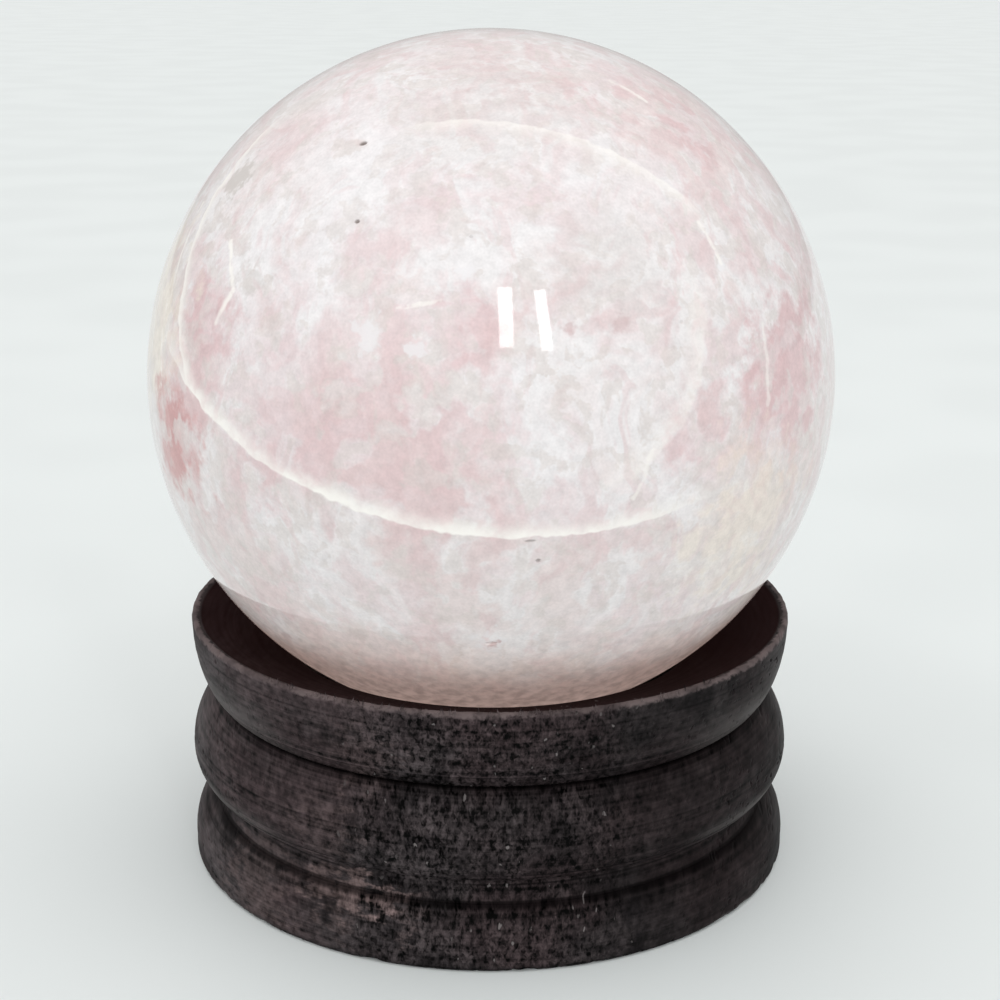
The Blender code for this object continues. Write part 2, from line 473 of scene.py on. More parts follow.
    # painted glow: the stone gives off a faint light low down, where the stand shades it, in place of light
    # coming through the stone
    paintedGlow = ramp(tree, splitXYZ(tree, onBall)[2], look["paintedGlowBottom"], look["paintedGlowTop"], 1.0, 0.0)
    paintedGlow = calc(tree, "POWER", paintedGlow, look["paintedGlowFall"])
    paintedGlow = calc(tree, "MULTIPLY", paintedGlow, ramp(tree, mottling, 0.30, 0.70, 0.75, 1.25))
    wire(tree, calcVector(tree, "SCALE", look["paintedGlowTone"], paintedGlow), shader.inputs["Emission Color"])
    shader.inputs["Emission Strength"].default_value = 1.0
    material.cycles.emission_sampling = "NONE"  # the painted glow is too faint to light its neighbours
    shader.inputs["IOR"].default_value = look["refraction"]
    return material


def addPatchFields(mesh, points):
    # for each tone, how deep each point lies in its broad patches, and their strength there
    for tone in broadTones:
        depth = np.full(len(points), -1.0)
        shares = np.full(len(points), 1e-6)
        strength = np.zeros(len(points))
        for azimuth, elevation, radius, amount, patchTone in patches.values():
            if patchTone == tone:
                away = np.linalg.norm(points - np.array(direction(azimuth, elevation)), axis=1)
                inside = np.clip(1.3 - away / radius, -1, None)
                share = (inside + 1) ** 4
                depth = np.maximum(depth, inside)
                strength += share * amount
                shares += share
        for label, values in (("Depth", depth), ("Strength", strength / shares)):
            mesh.attributes.new(tone + label, "FLOAT", "POINT").data.foreach_set("value", values)


def refineAround(shape, spot, reach):
    # cuts every edge within reach of the spot in two
    near = [edge for edge in shape.edges if all((end.co - spot).length < reach for end in edge.verts)]
    bmesh.ops.subdivide_edges(shape, edges=near, cuts=1, use_grid_fill=True)


def makeBall():
    shape = bmesh.new()
    bmesh.ops.create_icosphere(shape, subdivisions=ballLook["subdivisions"], radius=ballRadius)
    for azimuth, elevation, *others in pits.values():
        for reach in (2.2 * mm, 1.7 * mm, 1.3 * mm):
            refineAround(shape, direction(azimuth, elevation) * ballRadius, reach)
    bmesh.ops.triangulate(shape, faces=[face for face in shape.faces if len(face.verts) > 3])
    mesh = bpy.data.meshes.new("ball")
    shape.to_mesh(mesh)
    shape.free()

    points = np.zeros(len(mesh.vertices) * 3)
    mesh.vertices.foreach_get("co", points)
    points = points.reshape(-1, 3)
    points /= np.linalg.norm(points, axis=1)[:, None]
    addPatchFields(mesh, points)
    sunk = np.zeros(len(points))
    hollow = np.zeros(len(points))
    for azimuth, elevation, halfWidth, halfHeight, depth, turn, dirt in pits.values():
        out = direction(azimuth, elevation)
        side = Vector((0, 0, 1)).cross(out).normalized()
        side.rotate(Matrix.Rotation(math.radians(turn), 3, out))
        up = out.cross(side)
        across = points @ np.array(side) * ballRadius / (halfWidth * mm)
        along = points @ np.array(up) * ballRadius / (halfHeight * mm)
        inside = np.clip(1 - across**2 - along**2, 0, 1) * (points @ np.array(out) > 0)
        sunk += depth * mm * inside**0.8
        hollow = np.maximum(hollow, dirt * np.clip(inside * 1.6, 0, 1))
    points = points * (ballRadius - sunk)[:, None] + np.array(ballCentre)
    mesh.vertices.foreach_set("co", points.ravel())
    attribute = mesh.attributes.new("pit", "FLOAT", "POINT")
    attribute.data.foreach_set("value", hollow)
    mesh.shade_smooth()
    mesh.materials.append(makeStone())
    ball = bpy.data.objects.new("ball", mesh)
    bpy.context.scene.collection.objects.link(ball)
    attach(ball, "root")
    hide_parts("stone_ball")
    print("stone ball:", len(mesh.polygons), "faces,", len(pits), "pits,", len(veins), "veins")


makeBall()


# the ring stand: its outline is the CAD outline, at the CAD sizes; the rows and steps set how fine
# the mesh is, and the steps bunch up at the front and back

standShape = {
    "rimRadius": 34.2 * mm,
    "ringRadius": 34.5 * mm,
    "baseRadius": 34.6 * mm,
    "baseHeight": 6.4 * mm,
    "coveHeight": 2.7 * mm,
    "ringHeight": 10.0 * mm,
    "lipHeight": 9.6 * mm,
    "baseCrease": 31.7 * mm,
    "ringCrease": 31.2 * mm,
    "lipCrease": 30.3 * mm,
    "bellyHeight": 3.9 * mm,
    "footHeight": 2.2 * mm,
    "coveHollow": 0.3 * mm,
    "boreRadius": 23.0 * mm,
    "seatSlope": 20.0,
    "seatLand": 0.9 * mm,
    "rimRound": 0.6 * mm,
    "footChamfer": 0.4 * mm,
    "fineRow": 0.32 * mm,
    "coarseRow": 1.5 * mm,
    "steps": 480,
    "bunching": 0.24,
    "mergeDistance": 0.01 * mm,
}

# between these radii the outer wall takes over from the seat
seatEdge = (33.0 * mm, 33.7 * mm)

standRelief = {
    "Tool Mark Depth": 0.03 * mm,
    "Tool Mark Pitch": 0.8 * mm,
    "Pore Depth": 0.13 * mm,
    "Pore Size": 0.62 * mm,
    "Fibre Stretch": 14.0,
    "Foot Nick": 0.50 * mm,
    "Rim Wear": 0.07 * mm,
    "Seed": 7,
}


def quarterArc(start, end, corner, spacing):
    # quarter ellipse from start to end, bulging towards corner, with end left out
    across, up = abs(start[0] - end[0]), abs(start[1] - end[1])
    count = max(3, round(1.2 * math.hypot(across, up) / spacing))
    arc = []
    for step in range(count):
        angle = math.radians(90) * step / count
        first, second = 1 - math.sin(angle), 1 - math.cos(angle)
        arc.append(tuple(
            corner[k] + (start[k] - corner[k]) * first + (end[k] - corner[k]) * second for k in (0, 1)))
    return arc


def straight(start, end, spacing):
    count = max(1, round(math.hypot(end[0] - start[0], end[1] - start[1]) / spacing))
    return [tuple(start[k] + (end[k] - start[k]) * step / count for k in (0, 1)) for step in range(count)]


def standOutline():
    s = standShape
    fine, coarse = s["fineRow"], s["coarseRow"]
    ringBottom = s["baseHeight"] + s["coveHeight"]
    lipBottom = ringBottom + s["ringHeight"]
    rimHeight = lipBottom + s["lipHeight"]
    slope = math.tan(math.radians(s["seatSlope"]))
    landRadius = s["boreRadius"] + s["seatLand"]
    landAngle = math.asin((s["boreRadius"] + s["seatLand"] / 2) / ballRadius)
    landTop = rimHeight - (s["rimRadius"] - landRadius) * slope
    landBottom = landTop - s["seatLand"] * math.tan(landAngle)

    rimInside = (s["rimRadius"] - s["rimRound"], rimHeight - s["rimRound"] * slope)
    rimOutside = (s["rimRadius"], rimHeight - s["rimRound"])
    lipCrease = (s["lipCrease"], lipBottom)
    belly = (s["ringRadius"], ringBottom + s["bellyHeight"])
    ringCrease = (s["ringCrease"], ringBottom)
    baseCrease = (s["baseCrease"], s["baseHeight"])
    shoulder = (s["baseRadius"], s["footHeight"])
    footOuter = (s["baseRadius"], s["footChamfer"])
    underOuter = (s["baseRadius"] - s["footChamfer"], 0.0)
    underInner = (s["boreRadius"] + s["footChamfer"], 0.0)
    boreBottom = (s["boreRadius"], s["footChamfer"])
    boreTop = (s["boreRadius"], landBottom)
    landEdge = (landRadius, landTop)

    outline = quarterArc(rimInside, rimOutside, (s["rimRadius"], rimHeight), fine)
    outline += quarterArc(rimOutside, lipCrease, (s["rimRadius"], lipBottom), fine)
    outline += quarterArc(lipCrease, belly, (s["ringRadius"], lipBottom), fine)
    outline += quarterArc(belly, ringCrease, (s["ringRadius"], ringBottom), fine)
    cove = straight(ringCrease, baseCrease, fine)
    for step, (radius, height) in enumerate(cove):
        outline.append((radius - s["coveHollow"] * math.sin(math.pi * step / len(cove)), height))
    outline += quarterArc(baseCrease, shoulder, (s["baseRadius"], s["baseHeight"]), fine)
    outline += straight(shoulder, footOuter, fine) + straight(footOuter, underOuter, fine)
    outline += straight(underOuter, underInner, coarse) + straight(underInner, boreBottom, coarse)
    outline += straight(boreBottom, boreTop, coarse) + straight(boreTop, landEdge, fine)
    outline += straight(landEdge, rimInside, fine)
    return outline, rimHeight


def endGrainPore(tree, position, size, stretch):
    # pores that run front to back through the wood: open pits at the front and back, long slits at the
    # sides; gives the pit, the cell's own random value, the distance from its middle and the bent place
    fibreLength = calc(tree, "MULTIPLY", size, stretch)
    wide = calcVector(tree, "DIVIDE", position, joinXYZ(tree, size, fibreLength, size))
    upright = calcVector(tree, "MULTIPLY", wide, (1.0, 1.0, 0.65))
    bend = calcVector(tree, "SUBTRACT", noise(tree, upright, 1.1, 2.0, colour=True), (0.5, 0.5, 0.5))
    upright = calcVector(tree, "ADD", upright, calcVector(tree, "SCALE", bend, 1.1))
    cells = addNode(tree, "ShaderNodeTexVoronoi", {"Vector": upright, "Scale": 1.0})
    crowd = ramp(tree, noise(tree, upright, 0.20, 2.0), 0.40, 0.60, 0.22, 1.0)
    away = cells.outputs["Distance"]
    pit = calc(tree, "MULTIPLY", ramp(tree, away, 0.16, 0.40, 1.0, 0.0), crowd)
    return pit, splitXYZ(tree, cells.outputs["Color"])[0], away, upright


def facingEnds(tree, y, radius):
    # 1 where the end grain faces out, at the front and back
    return ramp(tree, calc(tree, "DIVIDE", calc(tree, "ABSOLUTE", y), radius), 0.84, 0.97)


def makeTurnedRing():
    # sweeps the outline round the upright axis, then sinks tool marks, open pores, nicks and wear into it
    tree, given, out = newGroup("turnedRing", "GeometryNodeTree", [
        ("Outline", "Geometry", None), ("Rows", "Int", 10), ("Steps", "Int", 64),
        ("Bunching", "Float", 0.0), ("Merge Distance", "Float", 0.00001),
        ("Tool Mark Depth", "Float", 0.0), ("Tool Mark Pitch", "Float", 0.001),
        ("Pore Depth", "Float", 0.0), ("Pore Size", "Float", 0.001), ("Fibre Stretch", "Float", 10.0),
        ("Foot Nick", "Float", 0.0), ("Rim Wear", "Float", 0.0), ("Rim Radius", "Float", 0.03),
        ("Rim Height", "Float", 0.03), ("Foot Radius", "Float", 0.03), ("Seed", "Int", 0),
        ("Material", "Material", None)],
        [("Ring", "Geometry", None)])
    columns = calc(tree, "ADD", given["Steps"], 1.0)
    lines = calc(tree, "ADD", given["Rows"], 1.0)
    grid = addNode(tree, "GeometryNodeMeshGrid", {"Vertices X": columns, "Vertices Y": lines})
    index = addNode(tree, "GeometryNodeInputIndex").outputs[0]
    row = calc(tree, "MODULO", calc(tree, "MODULO", index, lines), given["Rows"])
    turn = calc(tree, "DIVIDE", calc(tree, "FLOOR", calc(tree, "DIVIDE", index, lines)), given["Steps"])
    # the steps bunch up at the front and back, where the end grain shows
    even = calc(tree, "MULTIPLY", turn, 2 * math.pi)
    wave = calc(tree, "SINE", calc(tree, "MULTIPLY", turn, 4 * math.pi))
    angle = calc(tree, "ADD", even, calc(tree, "MULTIPLY", wave, given["Bunching"]))
    here = addNode(tree, "GeometryNodeInputPosition").outputs[0]
    sample = addNode(tree, "GeometryNodeSampleIndex", data_type="FLOAT_VECTOR")
    for name, value in (("Geometry", given["Outline"]), ("Value", here), ("Index", row)):
        wire(tree, value, sample.inputs[name])
    onOutline = splitXYZ(tree, sample.outputs[0])
    swept = joinXYZ(
        tree,
        calc(tree, "MULTIPLY", onOutline[0], calc(tree, "COSINE", angle)),
        calc(tree, "MULTIPLY", onOutline[0], calc(tree, "SINE", angle)),
        onOutline[2],
    )
    placed = addNode(tree, "GeometryNodeSetPosition", {"Geometry": grid.outputs["Mesh"], "Position": swept})
    closed = addNode(tree, "GeometryNodeMergeByDistance", {
        "Geometry": placed.outputs[0], "Distance": given["Merge Distance"]})

    # everything from here on reads the closed ring
    x, y, z = splitXYZ(tree, here)
    radius = calcVector(tree, "LENGTH", joinXYZ(tree, x, y, 0.0))
    shift = calc(tree, "MULTIPLY", given["Seed"], 0.137)
    finePitch = calc(tree, "DIVIDE", 1.0, given["Tool Mark Pitch"])
    markPlace = calcVector(tree, "SCALE", joinXYZ(tree, radius, shift, z), finePitch)
    mark = calc(tree, "SUBTRACT", noise(tree, markPlace, 1.0, 2.0), 0.5)
    markLift = calc(tree, "MULTIPLY", mark, calc(tree, "MULTIPLY", given["Tool Mark Depth"], 2.0))

    pore = endGrainPore(tree, here, given["Pore Size"], given["Fibre Stretch"])[0]
    openness = ramp(tree, facingEnds(tree, y, radius), 0.0, 1.0, 0.25, 1.0)
    openness = calc(tree, "MULTIPLY", openness, ramp(tree, radius, *seatEdge))
    poreSink = calc(tree, "MULTIPLY", calc(tree, "MULTIPLY", pore, openness), given["Pore Depth"])

    rim = joinXYZ(tree, given["Rim Radius"], given["Rim Height"], 0.0)
    toRim = calcVector(tree, "DISTANCE", joinXYZ(tree, radius, z, 0.0), rim)
    atRim = ramp(tree, toRim, 0.3 * mm, 1.2 * mm, 1.0, 0.0)
    wear = calc(tree, "MULTIPLY", atRim, ramp(tree, noise(tree, here, 700.0, 3.0), 0.35, 0.65))
    sunk = calc(tree, "ADD", poreSink, calc(tree, "MULTIPLY", wear, given["Rim Wear"]))
    # the flat underside stays flat
    lift = calc(tree, "MULTIPLY", calc(tree, "SUBTRACT", markLift, sunk), ramp(tree, z, 0.3 * mm, 0.8 * mm))
    outward = addNode(tree, "GeometryNodeInputNormal").outputs[0]

    # nicks lift the foot's outer edge off the surface it stands on, here and there
    aroundFoot = calcVector(tree, "ADD", joinXYZ(tree, x, y, 0.0), joinXYZ(tree, shift, shift, 0.0))
    nick = ramp(tree, noise(tree, aroundFoot, 420.0, 3.0, 0.6), 0.50, 0.74)
    footInside = calc(tree, "SUBTRACT", given["Foot Radius"], 0.9 * mm)
    atFoot = calc(
        tree, "MULTIPLY", ramp(tree, z, 0.3 * mm, 1.1 * mm, 1.0, 0.0),
        ramp(tree, radius, footInside, given["Foot Radius"]))
    nickLift = calc(tree, "MULTIPLY", calc(tree, "MULTIPLY", nick, atFoot), given["Foot Nick"])

    offset = calcVector(tree, "SCALE", outward, lift)
    offset = calcVector(tree, "ADD", offset, joinXYZ(tree, 0.0, 0.0, nickLift))
    relief = addNode(tree, "GeometryNodeSetPosition", {"Geometry": closed.outputs[0], "Offset": offset})
    whole = addNode(tree, "GeometryNodeRealizeInstances", {"Geometry": relief.outputs[0]})
    finished = addNode(tree, "GeometryNodeSetMaterial", {
        "Geometry": whole.outputs[0], "Material": given["Material"]})
    wire(tree, finished.outputs[0], out["Ring"])
    return tree


def applyTree(name, mesh, tree, values):
    # runs the tree on the mesh and returns a new object that holds the plain result
    source = bpy.data.objects.new(name + "Source", mesh)
    bpy.context.scene.collection.objects.link(source)
    modifier = source.modifiers.new(name, "NODES")
    modifier.node_group = tree
    sockets = {item.name: item.identifier for item in tree.interface.items_tree if item.in_out == "INPUT"}
    for label, value in values.items():
        modifier[sockets[label]] = value
    graph = bpy.context.evaluated_depsgraph_get()
    made = bpy.data.meshes.new_from_object(source.evaluated_get(graph))
    source.modifiers.remove(modifier)
    bpy.data.objects.remove(source)
    made.name = name
    piece = bpy.data.objects.new(name, made)
    bpy.context.scene.collection.objects.link(piece)
    return piece


def faceOutwards(mesh):
    shape = bmesh.new()
    shape.from_mesh(mesh)
    bmesh.ops.recalc_face_normals(shape, faces=shape.faces)
    shape.to_mesh(mesh)
    shape.free()


standLook = {
    "blackTone": (0.0103, 0.0088, 0.0094, 1),
    "brownTone": (0.0285, 0.0238, 0.0248, 1),
    "redTone": (0.0292, 0.0194, 0.0206, 1),
    "seatTone": (0.0125, 0.0028, 0.0029, 1),
    # painted reflection of the pale floor on the tiers' undersides
    "paintedFloorReflectionTone": (0.110, 0.102, 0.100, 1),
    "rubbedTone": (0.125, 0.092, 0.090, 1),
    "rimTone": (0.150, 0.118, 0.118, 1),
    "speckTone": (0.24, 0.22, 0.22, 1),
    "poreTone": (0.0018, 0.0014, 0.0016, 1),
    "roughness": 0.52,
    "grainLength": 0.12,
    "rimWidth": 0.50 * mm,
    "shine": 0.05,
    # painted light: how much lighter the wood is on the left and darker on the right
    "paintedLightLeft": 1.75,
    "paintedLightRight": 0.62,
    "rubDistance": 32.5 * mm,
    "fibreSwing": 2.8,
    "latheSwing": 3.0,
    "pebbleSwing": 6.0,
    # how much darker the wood is right at the turned creases
    "creaseDarkening": 0.7,
    "poreDarkness": 0.80,
    "speckShare": 0.10,
    "speckStrength": 0.6,
    "bumpStrength": 0.6,
    "bumpHeight": 0.12 * mm,
}

# lines scored round the stand: height and half width in millimetres, strength
scoredLines = {
    "ringLine": (10.6, 0.18, 0.8),
    "ringLineAbove": (11.7, 0.10, 0.5),
    "coveLine": (8.2, 0.14, 0.6),
    "baseLine": (5.6, 0.10, 0.5),
    "lipLine": (20.9, 0.10, 0.4),
}

# places where the stain is rubbed off: azimuth, height and reach in millimetres, strength; they lie
# at the rub distance from the axis
rubs = {
    "coveRub": (-33, 6.4, 1.9, 0.70),
    "coveRubMiddle": (-26, 6.2, 2.0, 0.95),
    "coveRubEnd": (-19, 6.0, 1.8, 0.75),
    "baseRub": (-27, 4.4, 3.0, 0.22),
    "baseRubEnd": (-15, 4.6, 2.4, 0.20),
    "ringRub": (-30, 13.0, 4.0, 0.20),
    "lipRub": (-24, 22.0, 4.0, 0.15),
    "baseWear": (-48, 4.0, 6.0, 0.30),
    "backRub": (170, 7.5, 4.0, 0.60),
    "sideRub": (95, 14.0, 5.0, 0.40),
}


def makeWood(rimHeight):
    s = standShape
    look = standLook
    material, tree, shader = newMaterial("darkWood")
    place = addNode(tree, "ShaderNodeTexCoord").outputs["Object"]
    x, y, z = splitXYZ(tree, place)
    radius = calcVector(tree, "LENGTH", joinXYZ(tree, x, y, 0.0))
    # the fibres run front to back, and the tool's fine lines run round
    alongFibre = calcVector(tree, "MULTIPLY", place, (1.0, look["grainLength"], 1.0))
    figure = noise(tree, alongFibre, 240.0, 4.0, 0.65, 0.4)
    fibre = noise(tree, alongFibre, 1300.0, 2.0, 0.6)
    lathe = noise(tree, joinXYZ(tree, radius, 0.0, z), 1500.0, 2.0, 0.65)
    broad = useGroup(tree, mottle, {"Position": place, "Scale": 55.0, "Low": 0.40, "High": 0.62})["Mask"]
    endGrain = facingEnds(tree, y, radius)
    pit, pick, away, cellSpace = endGrainPore(
        tree, place, standRelief["Pore Size"], standRelief["Fibre Stretch"])
    pebble = noise(tree, cellSpace, 1.2, 2.0, 0.7)

    colour = mix(tree, ramp(tree, figure, 0.35, 0.65), look["blackTone"], look["brownTone"])
    colour = mix(tree, calc(tree, "MULTIPLY", broad, 0.5), colour, look["redTone"])
    # painted light: the wood is lighter on the left and darker on the right, as if lit from the left
    paintedSideLight = ramp(tree, x, -32 * mm, 30 * mm, look["paintedLightLeft"], look["paintedLightRight"])
    colour = calcVector(tree, "SCALE", colour, paintedSideLight)
    patchNoise = noise(tree, joinXYZ(tree, x, y, calc(tree, "MULTIPLY", z, 3.0)), 420.0, 3.0, 0.65)
    push = raggedEdge(tree, patchNoise, 4.5)
    for azimuth, height, reach, strength in rubs.values():
        middle = direction(azimuth, 0) * look["rubDistance"]
        mask = useGroup(tree, softPatch, {
            "Position": place, "Centre": (middle.x, middle.y, height * mm),
            "Radius": reach * mm, "Push": push})["Mask"]
        colour = mix(tree, calc(tree, "MULTIPLY", mask, strength), colour, look["rubbedTone"])

    pebbling = calc(tree, "MULTIPLY", endGrain, look["pebbleSwing"])
    colour = swing(tree, colour, (fibre, look["fibreSwing"]), (lathe, look["latheSwing"]), (pebble, pebbling))

    # the seat is redder, darker and has no open pores
    inside = ramp(tree, radius, *seatEdge, 1.0, 0.0)
    onSeat = calc(tree, "MULTIPLY", inside, ramp(tree, z, 22 * mm, 24 * mm))
    pit = calc(tree, "MULTIPLY", pit, calc(tree, "SUBTRACT", 1.0, onSeat))
    colour = mix(tree, calc(tree, "MULTIPLY", onSeat, 0.85), colour, look["seatTone"])

    # painted reflection: a greyer band on the undersides of the tiers, left and right, where they would
    # reflect the pale floor
    facing = splitXYZ(tree, addNode(tree, "ShaderNodeNewGeometry").outputs["Normal"])[2]
    atSide = ramp(tree, calc(tree, "DIVIDE", calc(tree, "ABSOLUTE", x), radius), 0.55, 0.9)
    paintedFloorReflection = calc(tree, "MULTIPLY", ramp(tree, facing, -0.05, -0.50, 0.0, 0.7), atSide)
    colour = mix(tree, paintedFloorReflection, colour, look["paintedFloorReflectionTone"])

    # darker in the turned creases, and scored lines
    ringBottom = s["baseHeight"] + s["coveHeight"]
    for height in (s["baseHeight"], ringBottom, ringBottom + s["ringHeight"]):
        toCrease = calc(tree, "ABSOLUTE", calc(tree, "SUBTRACT", z, height))
        creaseDark = ramp(tree, toCrease, 0.08 * mm, 0.28 * mm, look["creaseDarkening"], 0.0)
        colour = mix(tree, creaseDark, colour, look["poreTone"])
    patchy = ramp(tree, noise(tree, place, 60.0, 2.0), 0.40, 0.55, 0.25, 1.0)
    for height, halfWidth, strength in scoredLines.values():
        toLine = calc(tree, "ABSOLUTE", calc(tree, "SUBTRACT", z, height * mm))
        scored = ramp(tree, toLine, 0.3 * halfWidth * mm, halfWidth * mm, strength, 0.0)
        colour = mix(tree, calc(tree, "MULTIPLY", scored, patchy), colour, look["poreTone"])

    # open pores, and paler bits of fibre standing in a few of them
    porous = ramp(tree, endGrain, 0.0, 1.0, 0.15, look["poreDarkness"])
    colour = mix(tree, calc(tree, "MULTIPLY", pit, porous), colour, look["poreTone"])
    chosen = 1 - look["speckShare"]
    inCell = ramp(tree, away, 0.14, 0.30, 1.0, 0.0)
    speck = calc(tree, "MULTIPLY", inCell, ramp(tree, pick, chosen, chosen + 0.06))
    speck = calc(tree, "MULTIPLY", speck, calc(tree, "MULTIPLY", endGrain, look["speckStrength"]))
    colour = mix(tree, speck, colour, look["speckTone"])

    # the rim's edge is worn pale, in a ragged line
    rimMiddle = (s["rimRadius"] - 0.2 * mm, rimHeight - 0.2 * mm, 0.0)
    toRim = calcVector(tree, "DISTANCE", joinXYZ(tree, radius, z, 0.0), rimMiddle)
    rimShare = calc(tree, "DIVIDE", toRim, look["rimWidth"])
    ragged = raggedEdge(tree, noise(tree, place, 800.0, 3.0, 0.65), 2.6)
    rim = ramp(tree, calc(tree, "ADD", rimShare, ragged), 0.45, 1.15, 0.85, 0.0)
    rim = calc(tree, "MULTIPLY", rim, ramp(tree, noise(tree, place, 260.0, 3.0), 0.35, 0.60, 0.35, 1.0))
    colour = mix(tree, rim, colour, look["rimTone"])
    wire(tree, colour, shader.inputs["Base Color"])

    rough = ramp(tree, figure, 0.3, 0.7, look["roughness"] + 0.12, look["roughness"] - 0.06)
    rough = calc(tree, "MAXIMUM", rough, calc(tree, "MULTIPLY", onSeat, 0.95))
    wire(tree, calc(tree, "MAXIMUM", rough, calc(tree, "MULTIPLY", pit, 0.9)), shader.inputs["Roughness"])
    shader.inputs["Specular IOR Level"].default_value = look["shine"]
    height = calc(tree, "ADD", calc(tree, "MULTIPLY", fibre, 0.5), calc(tree, "MULTIPLY", lathe, 0.5))
    height = calc(tree, "ADD", height, calc(tree, "MULTIPLY", pebble, calc(tree, "MULTIPLY", endGrain, 0.8)))
    height = calc(tree, "SUBTRACT", height, calc(tree, "MULTIPLY", pit, 1.2))
    bump = addNode(tree, "ShaderNodeBump", {
        "Height": height, "Strength": look["bumpStrength"], "Distance": look["bumpHeight"]})
    wire(tree, bump.outputs[0], shader.inputs["Normal"])
    return material


splinterShape = {
    "Count": 150,
    "Length": 0.75 * mm,
    "Width": 0.11 * mm,
    "Spread": 42.0,
    "Seed": 3,
}


def makeSplinterTree():
    # short frayed fibres on the outer wall under the rim, where the end grain meets it, front and back
    tree, given, out = newGroup("rimSplinters", "GeometryNodeTree", [
        ("Geometry", "Geometry", None), ("Count", "Int", 10), ("Length", "Float", 0.001),
        ("Width", "Float", 0.0001), ("Spread", "Float", 40.0), ("Rim Radius", "Float", 0.03),
        ("Rim Height", "Float", 0.03), ("Seed", "Int", 0), ("Material", "Material", None)],
        [("Splinters", "Geometry", None)])

    def chance(low, high, salt):
        node = addNode(tree, "FunctionNodeRandomValue", {2: low, 3: high}, data_type="FLOAT")
        wire(tree, calc(tree, "ADD", given["Seed"], float(salt)), node.inputs["Seed"])
        return node.outputs[1]

    line = addNode(tree, "GeometryNodeMeshLine", {"Count": given["Count"]})
    side = calc(tree, "MULTIPLY", calc(tree, "FLOOR", chance(0.0, 1.35, 1)), math.pi)
    swungOut = calc(tree, "MULTIPLY", chance(-1.0, 1.0, 2), calc(tree, "RADIANS", given["Spread"]))
    angle = calc(tree, "ADD", calc(tree, "ADD", swungOut, side), -math.pi / 2)
    outwards = joinXYZ(tree, calc(tree, "COSINE", angle), calc(tree, "SINE", angle), 0.0)
    low = calc(tree, "MULTIPLY", chance(0.1, 1.1, 3), given["Length"])
    onWall = calcVector(tree, "SCALE", outwards, calc(tree, "SUBTRACT", given["Rim Radius"], 0.03 * mm))
    height = calc(tree, "SUBTRACT", given["Rim Height"], low)
    spot = calcVector(tree, "ADD", onWall, joinXYZ(tree, 0.0, 0.0, height))
    points = addNode(tree, "GeometryNodeSetPosition", {"Geometry": line.outputs["Mesh"], "Position": spot})
    cone = addNode(tree, "GeometryNodeMeshCone", {
        "Vertices": 5, "Radius Bottom": given["Width"],
        "Radius Top": calc(tree, "MULTIPLY", given["Width"], 0.2), "Depth": given["Length"]})
    upright = joinXYZ(tree, chance(-0.45, 0.45, 4), 0.0, 1.0)
    lean = calcVector(tree, "ADD", calcVector(tree, "SCALE", outwards, 0.12), upright)
    aim = addNode(tree, "FunctionNodeAlignRotationToVector", {"Vector": lean}, axis="Z")
    placed = addNode(tree, "GeometryNodeInstanceOnPoints", {
        "Points": points.outputs[0], "Instance": cone.outputs["Mesh"], "Rotation": aim.outputs[0],
        "Scale": joinXYZ(tree, chance(0.6, 1.3, 5), chance(0.6, 1.3, 5), chance(0.35, 1.0, 6))})
    whole = addNode(tree, "GeometryNodeRealizeInstances", {"Geometry": placed.outputs[0]})
    finished = addNode(tree, "GeometryNodeSetMaterial", {
        "Geometry": whole.outputs[0], "Material": given["Material"]})
    wire(tree, finished.outputs[0], out["Splinters"])
    return tree


def makeStand():
    outline, rimHeight = standOutline()
    wood = makeWood(rimHeight)
    mesh = bpy.data.meshes.new("standOutline")
    mesh.from_pydata([(radius, 0.0, height) for radius, height in outline], [], [])
    atRim = {"Rim Radius": standShape["rimRadius"], "Rim Height": rimHeight, "Material": wood}
    stand = applyTree("stand", mesh, makeTurnedRing(), {
        **standRelief, **atRim, "Rows": len(outline), "Steps": standShape["steps"],
        "Bunching": standShape["bunching"], "Merge Distance": standShape["mergeDistance"],
        "Foot Radius": standShape["baseRadius"]})
    splinters = applyTree("rimSplinters", bpy.data.meshes.new("start"), makeSplinterTree(), {
        **splinterShape, **atRim})
    faceOutwards(stand.data)
    stand.data.shade_smooth()
    for piece in (stand, splinters):
        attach(piece, "root")
    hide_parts("ring_stand")
    print("ring stand:", len(stand.data.polygons), "faces,", len(outline), "rows")
    print("rim splinters:", len(splinters.data.polygons), "faces")


makeStand()


# the setting: a pale floor, a soft sky that is brightest high up in front, and two strip lights

setting = {
    "floorSize": 12.0,
    "floorTone": (0.79, 0.84, 0.845, 1),
    "floorDarker": 0.97,
    "floorRoughness": 0.6,
    "skyTone": (1.0, 0.985, 0.97, 1),
    "skyDark": 0.47,
    "skyBright": 1.14,
    "skyAzimuth": -15.0,
    "skyElevation": 62.0,
    "stripDistance": 0.9,
    "stripLength": 0.29,
    "stripPower": 6.8,
    "strips": ((4.9, 30.8, 0.068), (17.9, 29.3, 0.055)),
}


def makeFloor():
    mesh = bpy.data.meshes.new("floor")
    half = setting["floorSize"] / 2
    corners = [(-half, -half, 0), (half, -half, 0), (half, half, 0), (-half, half, 0)]
    mesh.from_pydata(corners, [], [(0, 1, 2, 3)])
    material, tree, shader = newMaterial("paleFloor")
    place = addNode(tree, "ShaderNodeTexCoord").outputs["Object"]
    cloud = ramp(tree, noise(tree, place, 25.0, 0.0), 0.3, 0.7)
    tone = setting["floorTone"]
    darker = tuple(setting["floorDarker"] * value for value in tone[:3]) + (1,)
    wire(tree, mix(tree, cloud, darker, tone), shader.inputs["Base Color"])
    shader.inputs["Roughness"].default_value = setting["floorRoughness"]
    mesh.materials.append(material)
    floor = bpy.data.objects.new("floor", mesh)
    bpy.context.scene.collection.objects.link(floor)


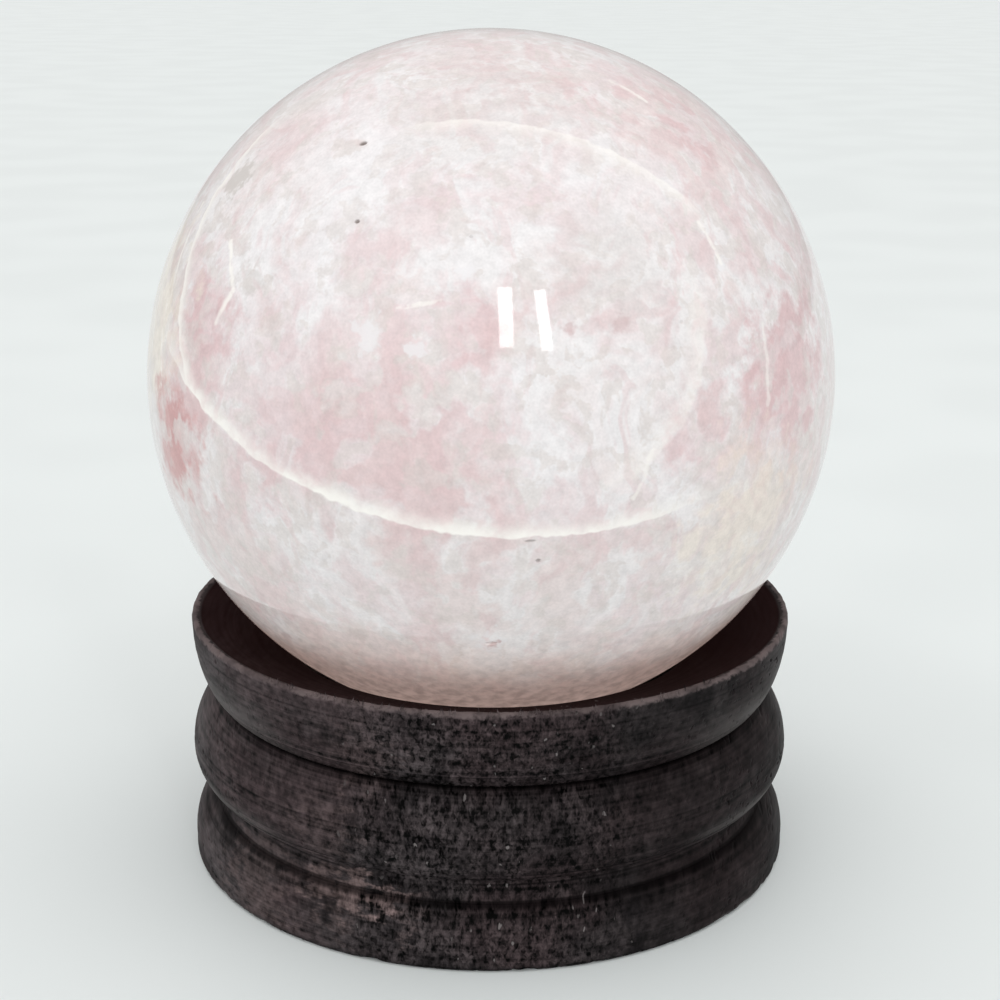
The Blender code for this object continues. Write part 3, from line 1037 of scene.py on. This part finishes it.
def makeSky():
    world = bpy.data.worlds.new("softSky")
    world.use_nodes = True
    tree = world.node_tree
    way = addNode(tree, "ShaderNodeTexCoord").outputs["Generated"]
    bright = direction(setting["skyAzimuth"], setting["skyElevation"])
    facing = calcVector(tree, "DOT_PRODUCT", way, bright)
    strength = ramp(tree, facing, -0.7, 0.9, setting["skyDark"], setting["skyBright"])
    background = tree.nodes["Background"]
    background.inputs["Color"].default_value = setting["skyTone"]
    wire(tree, strength, background.inputs["Strength"])
    world.cycles.sampling_method = "NONE"  # even enough to need no sampling as a light
    bpy.context.scene.world = world


def makeLight(name, azimuth, elevation, distance, size, power):
    # an area light that faces the ball
    light = bpy.data.lights.new(name, "AREA")
    light.shape = "RECTANGLE"
    light.size, light.size_y = size
    light.energy = power
    lamp = bpy.data.objects.new(name, light)
    outwards = direction(azimuth, elevation)
    lamp.location = ballCentre + outwards * distance
    lamp.rotation_euler = outwards.to_track_quat("Z", "Y").to_euler()
    bpy.context.scene.collection.objects.link(lamp)


def makeLights():
    # each strip's azimuth, elevation and width, with the power growing with the width
    for azimuth, elevation, width in setting["strips"]:
        size = (width, setting["stripLength"])
        makeLight("strip", azimuth, elevation, setting["stripDistance"], size, setting["stripPower"] * width)


# the camera stands where the photograph was taken from
cameraPlace = {
    "distance": 208.2 * mm,
    "height": 102.1 * mm,
    "pitch": 16.48,
    "yaw": 0.29,
    "roll": 0.37,
    "lens": 68.4,
    "sensor": 36.0,
}


def makeCamera():
    data = bpy.data.cameras.new("camera")
    data.sensor_width = cameraPlace["sensor"]
    data.lens = cameraPlace["lens"]
    data.clip_start = 0.01
    camera = bpy.data.objects.new("camera", data)
    aim = Matrix.Rotation(math.radians(-cameraPlace["yaw"]), 4, "Z")
    aim = aim @ Matrix.Rotation(math.radians(90 - cameraPlace["pitch"]), 4, "X")
    aim = aim @ Matrix.Rotation(math.radians(cameraPlace["roll"]), 4, "Z")
    camera.matrix_world = Matrix.Translation((0, -cameraPlace["distance"], cameraPlace["height"])) @ aim
    bpy.context.scene.collection.objects.link(camera)
    bpy.context.scene.camera = camera


makeFloor()
makeSky()
makeLights()
makeCamera()
bpy.context.scene.view_settings.view_transform = "Standard"
print("floor, light and camera are set")
